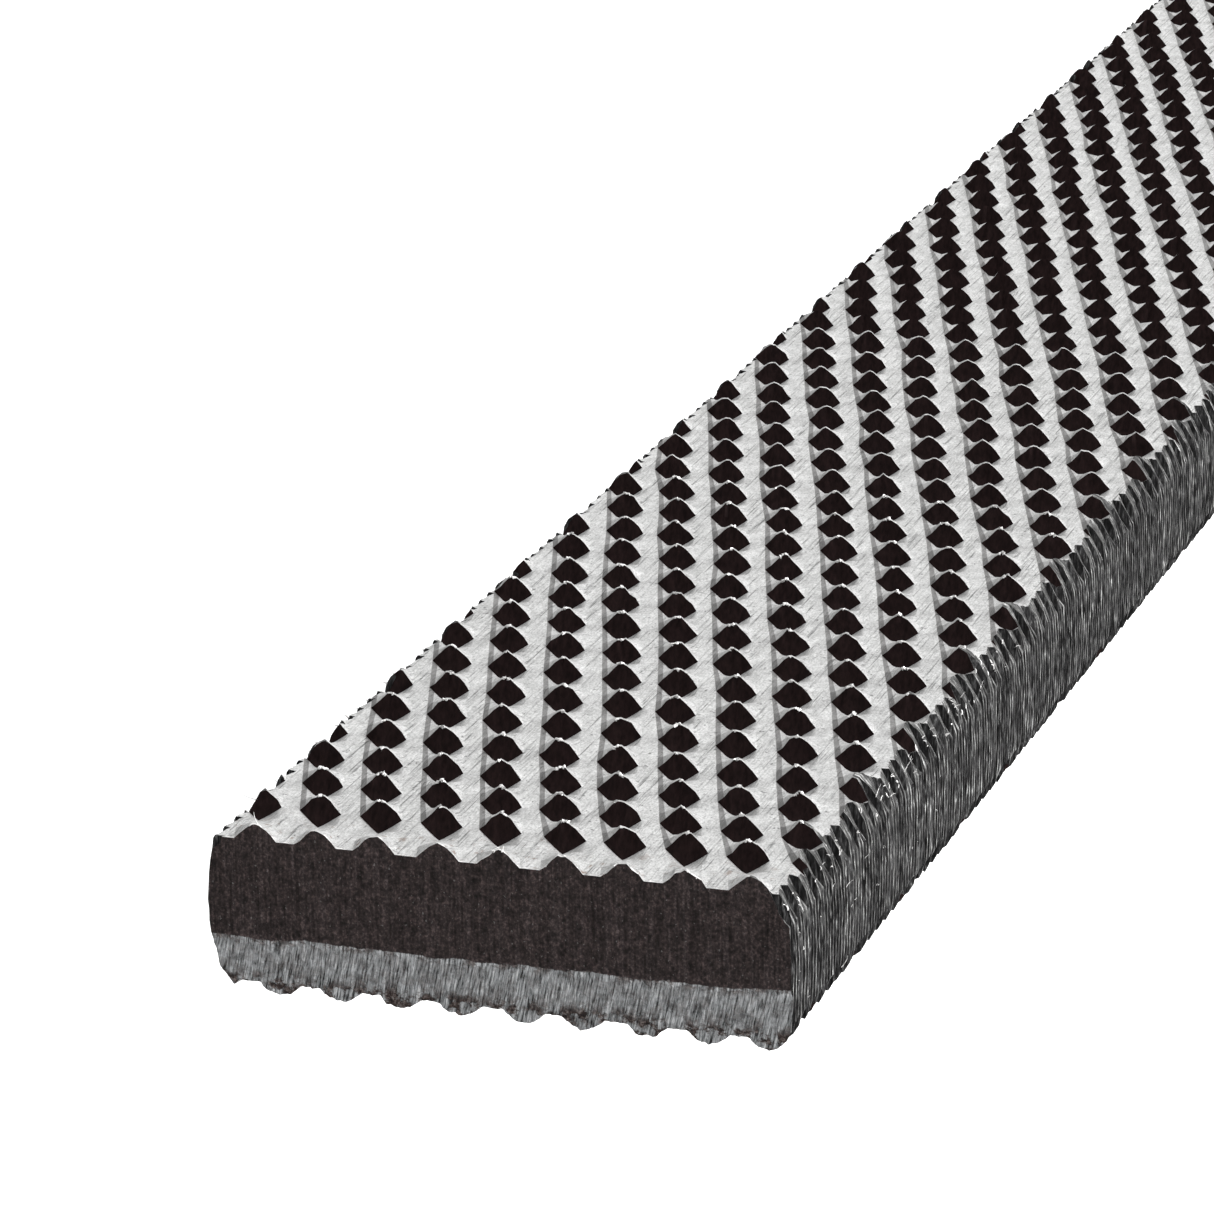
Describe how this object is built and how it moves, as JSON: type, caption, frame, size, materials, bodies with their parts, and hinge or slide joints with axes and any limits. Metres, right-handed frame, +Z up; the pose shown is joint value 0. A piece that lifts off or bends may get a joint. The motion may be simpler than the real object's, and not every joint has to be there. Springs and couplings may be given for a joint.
{
  "type": "flat file",
  "caption": "Slim flat file with a double-cut blade and square tip, its round shank held in a collet chuck on a facetted wooden handle with a brass ferrule.",
  "frame": {"origin": "on the surface the file lies on, under the middle of its overall box", "axes": "+Y from the square tip of the blade to the end of the handle, +X across the width of the blade, +Z up through the toothed faces"},
  "size_m": [0.019, 0.2154, 0.019],
  "materials": {
    "file_steel": "bright hardened tool steel, cut teeth, faint lengthwise scratches",
    "nut_steel": "satin, knurled",
    "collet_steel": "oiled spring steel",
    "spindle_steel": "turned, satin",
    "ferrule_brass": "satin with light handling marks",
    "brad_brass": "satin",
    "handle_wood": "oiled hardwood, fine straight grain"
  },
  "bodies": {
    "grip": {"handle": "handle_wood", "ferrule": "ferrule_brass", "ferrule_brad_left": "brad_brass", "ferrule_brad_right": "brad_brass", "chuck_spindle": "spindle_steel"},
    "collet": {"collet": "collet_steel"},
    "nut": {"chuck_nut": "nut_steel"},
    "blank": {"file_blank": "file_steel"}
  },
  "joints": [
    {"name": "collet_draw", "type": "slide", "parent": "grip", "child": "collet", "axis": [0, -1, 0], "range_m": [0, 0.0015]},
    {"name": "nut_turn", "type": "hinge", "parent": "collet", "child": "nut", "pos_m": [0, 0, 0.0095], "axis": [0, -1, 0], "range_deg": [0, 720]},
    {"name": "blank_slide", "type": "slide", "parent": "grip", "child": "blank", "axis": [0, -1, 0], "range_m": [-0.013, 0.04]}
  ],
  "couplings": [
    {"joint": "collet_draw", "follows": "nut_turn", "m_per_rad": 0.00011937}
  ]
}
